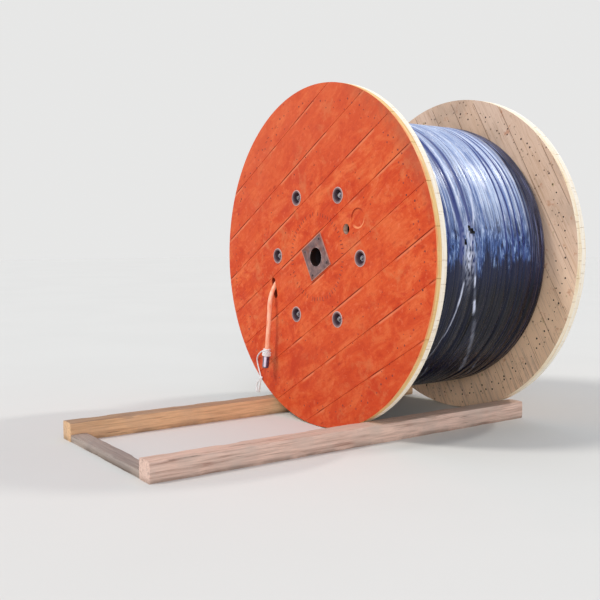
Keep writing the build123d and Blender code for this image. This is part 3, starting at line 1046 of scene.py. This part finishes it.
# Hoops where the film is pulled down between turns of cable: (place along the axle, width, depth)
VALLEYS = ((0.196, 0.007, 0.0040), (0.236, 0.005, 0.0030), (0.292, 0.008, 0.0050), (0.352, 0.007, 0.0050),
           (0.398, 0.003, 0.0020), (0.434, 0.019, 0.0068), (0.478, 0.003, 0.0022), (0.524, 0.017, 0.0066),
           (0.572, 0.003, 0.0020), (0.609, 0.005, 0.0046), (0.632, 0.003, 0.0022), (0.684, 0.004, 0.0024),
           (0.704, 0.003, 0.0018), (0.741, 0.004, 0.0026), (0.766, 0.003, 0.0024), (0.785, 0.003, 0.0022),
           (0.804, 0.0065, 0.0066), (0.825, 0.003, 0.0022), (0.849, 0.0065, 0.0062), (0.874, 0.003, 0.0022),
           (0.899, 0.0055, 0.0060), (0.925, 0.003, 0.0022), (0.949, 0.0060, 0.0062), (0.972, 0.003, 0.0024),
           (1.004, 0.0065, 0.0062), (1.022, 0.003, 0.0028), (1.040, 0.0050, 0.0052), (1.060, 0.003, 0.0028),
           (1.078, 0.0055, 0.0060), (1.095, 0.003, 0.0026), (1.112, 0.0045, 0.0050), (1.130, 0.003, 0.0022),
           (1.146, 0.0050, 0.0040))
SEEN_TURN = math.radians(25)
# The small tear that the film's creases run to, and a nick below it: angles in degrees, places along the axle
TEAR_TURN = 11.0
TEAR_Y = 0.527
NICK_TURN = 6.0
NICK_Y = 0.478
# Pale folds, some of them pale smears that are painted highlights, all painted pale as reflection: (first
# angle, its place, last angle, its place, half width, strength)
FOLDS = ((-8.0, 0.4730, -20.0, 0.4600, 0.0075, 1.30), (-17.0, 0.4640, -33.0, 0.4440, 0.0045, 1.00),
         (-3.0, 0.5470, -12.0, 0.5640, 0.009, 0.25), (-6.0, 0.5520, -11.0, 0.5620, 0.007, 1.60),
         (-11.0, 0.5640, -18.0, 0.5860, 0.010, 0.30), (-16.0, 0.5790, -22.5, 0.6060, 0.012, 1.60),
         (-24.0, 0.6220, -42.0, 0.7180, 0.018, 0.26), (-37.0, 0.6900, -59.0, 0.8250, 0.018, 0.24),
         (-30.0, 0.4400, -46.0, 0.4050, 0.004, 0.60), (-48.0, 0.4700, -62.0, 0.5300, 0.004, 0.50),
         (-46.0, 0.8600, -64.0, 0.9500, 0.004, 0.45), (11.0, 0.5460, 32.0, 0.6020, 0.008, 1.20),
         (27.0, 0.7200, 42.0, 0.6920, 0.017, 1.30), (31.0, 0.9930, 41.0, 0.9800, 0.009, 1.30),
         (33.0, 0.4900, 52.0, 0.4650, 0.008, 1.00), (28.0, 0.6260, 46.0, 0.6420, 0.006, 0.90),
         (4.0, 0.4960, 18.0, 0.5080, 0.007, 0.90), (-4.0, 0.4620, 8.0, 0.4780, 0.008, 0.70))


def shoulder_depth(y):
    """How far the pack is drawn in near the flanges."""
    front_fade, front_depth = FRONT_SHOULDER
    rear_fade, rear_depth = REAR_SHOULDER
    front = front_depth * math.exp(-(y - FRONT_INNER_Y) / front_fade)
    return front + rear_depth * math.exp(-(REAR_INNER_Y - y) / rear_fade)


def cable_turns():
    """The wound cable as one ring whose outside shows its turns."""
    count = int(INSIDE_WIDTH / CABLE_PITCH)
    first = (INSIDE_WIDTH - count * CABLE_PITCH) / 2
    profile = [(BARREL_RADIUS, 0.0), (FILM_RADIUS - FIRST_TURN_DROP, 0.0)]
    for number in range(count):
        for part in (0.06, 0.22, 0.40, 0.60, 0.78, 0.94):
            height = first + (number + part) * CABLE_PITCH
            crown = CABLE_PITCH / 2 * (1 - math.sqrt(1 - (2 * part - 1) ** 2))
            radius = FILM_RADIUS - FILM_OVER_CABLE - crown - shoulder_depth(FRONT_INNER_Y + height)
            profile.append((radius, height))
    profile += [(FILM_RADIUS - LAST_TURN_DROP, INSIDE_WIDTH), (BARREL_RADIUS, INSIDE_WIDTH)]
    parts = [lathe(profile, 96, facing(0, FRONT_INNER_Y, AXLE_Z, False))]
    mesh_piece("cable_winding_turns", parts, WOUND_SHEATH, ["cable_winding"], 50)


def round_noise(turn, scale, last, shift=0.0):
    """Smooth noise that closes on itself round the drum."""
    return noise.noise((scale * math.cos(turn) + shift, scale * math.sin(turn), last))


def valley_lines(turn):
    """Place, width and depth of each pulled-down hoop at one angle."""
    lines = []
    for number, (y, width, depth) in enumerate(VALLEYS):
        wander = round_noise(turn, 1.2, 3.7 * number) - round_noise(SEEN_TURN, 1.2, 3.7 * number)
        strength = 0.95 + 0.6 * round_noise(turn, 1.0, 2.3 * number, 9)
        lines.append((y + 0.030 * wander, width, depth * min(1.15, max(0.55, strength))))
    return lines


def drawn_to_tear(degrees, y):
    """The place along the axle that a point of the film would have without the gather at the tear."""
    spread = 0.62 + 0.38 * (1 - math.exp(-abs(degrees - TEAR_TURN) / 14))
    near = math.exp(-(((y - TEAR_Y) / 0.09) ** 2) - ((degrees - TEAR_TURN) / 45) ** 2)
    return y + near * ((y - TEAR_Y) / spread - (y - TEAR_Y))


def fold_strength(degrees, y):
    """How pale the film is painted where it is folded double or carries a painted highlight: painted
    reflection.
    """
    strength = 0.0
    for first, first_y, last, last_y, half_width, amount in FOLDS:
        part = (degrees - first) / (last - first)
        if 0 < part < 1:
            away = abs(y - first_y - part * (last_y - first_y)) / half_width
            if away < 1:
                ends = min(1.0, 6 * part, 6 * (1 - part))
                broken = 0.65 + 0.7 * noise.noise((degrees * 0.35, y * 30, 4.0))
                strength = max(strength, amount * ends * (1 - away * away) * min(1.0, max(0.0, broken)))
    # Crumpled film round the tear, painted pale as its reflection
    crumple = abs(noise.noise((degrees * 0.42, y * 75, 6.0)))
    round_tear = math.exp(-(((y - 0.506) / 0.038) ** 2) - ((degrees - 3) / 9.5) ** 2)
    return min(1.0, max(strength, 1.45 * round_tear * max(0.0, 1.0 - 3.2 * crumple)))


def film_depth(turn, degrees, y, lines):
    """How far the film lies under its outer size, and how much of a valley it is in."""
    flat_y = drawn_to_tear(degrees, y)
    valley = 0.0
    for line_y, width, depth in lines:
        away = abs(flat_y - line_y)
        if away < 4 * width:
            valley += depth * math.exp(-((away / width) ** 1.6))
    valley = min(valley, DEEPEST_VALLEY)
    wander = 0.006 * round_noise(turn, 1.3, 2.0 * flat_y)
    ridge = abs(math.sin(math.pi * (flat_y - FRONT_INNER_Y + wander) / CABLE_PITCH))
    tight = 0.0006 + 0.0010 * round_noise(turn, 1.1, 3.4 * flat_y, 5)
    slack = 0.5 + 0.5 * round_noise(turn, 3.0, 22.0 * flat_y)
    depth = valley + max(0.0, tight) * (1 - ridge**0.7) + 0.0014 * slack
    gather = math.exp(-(((y - TEAR_Y) / 0.13) ** 2) - ((degrees - TEAR_TURN - 6) / 26) ** 2)
    crease = abs(noise.noise((degrees * 0.05, flat_y * 70, 8.0)))
    depth += gather * 0.0030 * (1 - min(1.0, 3 * crease))
    return min(depth, DEEPEST_VALLEY + 0.0015), valley / DEEPEST_VALLEY


def torn_away(degrees, y):
    """Whether the film has a hole here."""
    ragged = noise.noise((degrees * 3.1, y * 320, 2.0))
    slanting = y - TEAR_Y + 0.010 * (degrees - TEAR_TURN)
    torn = ((degrees - TEAR_TURN) / 2.0) ** 2 + (slanting / 0.016) ** 2
    nick = ((degrees - NICK_TURN) / 1.0) ** 2 + ((y - NICK_Y) / 0.010) ** 2
    return min(torn, nick) <= 1 + 0.8 * ragged


def film():
    """The wrapped film as one open skin with its hoops, folds and tear."""
    points = []
    valleys = []
    pales = []
    for step in range(FILM_STEPS_ROUND):
        turn = 2 * math.pi * step / FILM_STEPS_ROUND
        degrees = math.degrees(turn) if turn < math.pi else math.degrees(turn) - 360
        lines = valley_lines(turn)
        for row in range(FILM_STEPS_ALONG + 1):
            y = FRONT_INNER_Y + INSIDE_WIDTH * row / FILM_STEPS_ALONG
            depth, valley = film_depth(turn, degrees, y, lines)
            pale = fold_strength(degrees, y)
            radius = FILM_RADIUS - shoulder_depth(y) - depth * (1 - 0.6 * pale)
            points.append((radius * math.cos(turn), y, AXLE_Z + radius * math.sin(turn)))
            valleys.append(valley)
            pales.append(pale)
    width = FILM_STEPS_ALONG + 1
    faces = []
    for step in range(FILM_STEPS_ROUND):
        here = step * width
        there = (step + 1) % FILM_STEPS_ROUND * width
        for row in range(FILM_STEPS_ALONG):
            y = FRONT_INNER_Y + INSIDE_WIDTH * (row + 0.5) / FILM_STEPS_ALONG
            if not torn_away(360 * (step + 0.5) / FILM_STEPS_ROUND, y):
                faces.append((here + row, here + row + 1, there + row + 1, there + row))
    wrapped = mesh_piece("stretch_film_wrapped", [(points, faces)], FILM, ["stretch_film"], 180)
    attach(wrapped, "valley", valleys)
    attach(wrapped, "pale", pales)


cable_turns()
film()


# Timbers

BEAM_STEP = 0.02
STEPS_A_SIDE = 7
TIMBER_WEAR = 0.006
BOARD_WEAR = 0.004


def square_outline():
    """Points round a unit square, anticlockwise."""
    corners = ((0, 0), (1, 0), (1, 1), (0, 1))
    outline = []
    for index, (u, v) in enumerate(corners):
        next_u, next_v = corners[(index + 1) % 4]
        for step in range(STEPS_A_SIDE):
            part = step / STEPS_A_SIDE
            outline.append((u + (next_u - u) * part, v + (next_v - v) * part))
    return outline


def worn_inset(place, u, v, width, height, seed, wear):
    """How far rough sawing, and wear and chips near the arrises, take the surface in."""
    rough = 0.5 + 0.5 * noise.noise((place * 5 + seed, u * 3, v * 3))
    fine = 0.5 + 0.5 * noise.noise((place * 31 + seed, u * 17, v * 17))
    corner = max(0.0, 1 - (min(u, 1 - u) * width + min(v, 1 - v) * height) / 0.02)
    chip = max(0.0, noise.noise((place * 7 - seed, u * 2 + 4, v * 2)))
    return 0.0018 * rough + 0.0010 * fine + corner * wear * (0.35 + 1.8 * chip)


def rough_beam(node, axis, material, seed, wear):
    """A sawn timber inside a node's box, with worn arrises, along X (0) or Y (1)."""
    low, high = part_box(node)
    other = 1 - axis
    length = high[axis] - low[axis]
    width = high[other] - low[other]
    height = high[2] - low[2]
    steps = max(24, int(length / BEAM_STEP))
    outline = square_outline()
    points = []
    for step in range(steps + 1):
        place = low[axis] + length * step / steps
        for u, v in outline:
            inset = worn_inset(place, u, v, width, height, seed, wear)
            side = (u - 0.5) * (width - 2 * inset) + (low[other] + high[other]) / 2
            lift = (v - 0.5) * (height - 2 * inset) + (low[2] + high[2]) / 2
            point = [0.0, 0.0, low[2] if v == 0 else lift]
            point[axis] = place
            point[other] = side
            points.append(point)
    faces = capped(steps + 1, len(outline))
    if axis == 1:
        faces = [tuple(reversed(face)) for face in faces]
    mesh_piece(node + "_sawn", [(points, faces)], material, [node], 30)


rough_beam("near_timber", 1, NEAR_WOOD, 1.0, TIMBER_WEAR)
rough_beam("far_timber", 1, FAR_WOOD, 9.0, TIMBER_WEAR)
rough_beam("cross_board", 0, GREY_WOOD, 17.0, BOARD_WEAR)


# Looks of the nodes that stay

CARRIED = {
    "front_outer_boards": PAINT,
    "front_inner_boards": FRONT_BARE,
    "rear_inner_boards": REAR_BARE,
    "rear_outer_boards": REAR_OUTER,
    "barrel": STAVES,
    "tie_rods": ZINC,
    "centre_plate": PLATE,
}
for node, material in CARRIED.items():
    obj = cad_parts[node]
    if not obj.material_slots:
        obj.data.materials.append(material)
    for holder in obj.material_slots:
        holder.material = material


# Floor, sky and lamps


def pale_floor(reach):
    mesh = bpy.data.meshes.new("floor")
    corners = [(-reach, -reach, 0), (reach, -reach, 0), (reach, reach, 0), (-reach, reach, 0)]
    mesh.from_pydata(corners, [], [(0, 1, 2, 3)])
    mesh.materials.append(floor_look((212, 209, 202)))
    link("floor", mesh)


def sun(name, direction, strength, angle):
    data = bpy.data.lights.new(name, "SUN")
    data.energy = strength
    data.angle = math.radians(angle)
    link(name, data).rotation_euler = Vector(direction).to_track_quat("Z", "Y").to_euler()


def studio_world(backdrop):
    """A soft sky that lights the object. The camera, metal and glass see a plain backdrop."""
    world = bpy.data.worlds.new("studio")
    bpy.context.scene.world = world
    world.use_nodes = True
    nodes = Nodes(world.node_tree)
    up = nodes.parts(nodes.add("ShaderNodeTexCoord").outputs["Generated"])[2]
    sky = nodes.blend(nodes.span(up, 0.0, 0.40, smooth=False), (0.26, 0.27, 0.29, 1), (0.50, 0.53, 0.58, 1))
    sky = nodes.blend(nodes.span(up, 0.40, 1.0, smooth=False), sky, (0.72, 0.78, 0.92, 1))
    rays = nodes.add("ShaderNodeLightPath").outputs
    seen = rays["Is Camera Ray"]
    for name in ("Is Glossy Ray", "Is Transmission Ray"):
        seen = nodes.calc("MAXIMUM", seen, rays[name])
    background = world.node_tree.nodes["Background"].inputs
    nodes.feed(background["Color"], nodes.blend(seen, sky, backdrop))
    background["Strength"].default_value = 1.0


pale_floor(40.0)
sun("key", (-0.25, -0.75, 0.85), 1.55, 12)
sun("fill", (0.80, -0.55, 0.30), 0.90, 30)
sun("top", (0.17, 0.73, 0.66), 0.8, 5)
studio_world((0.80, 0.80, 0.795, 1))

bpy.context.scene.view_settings.view_transform = "Standard"
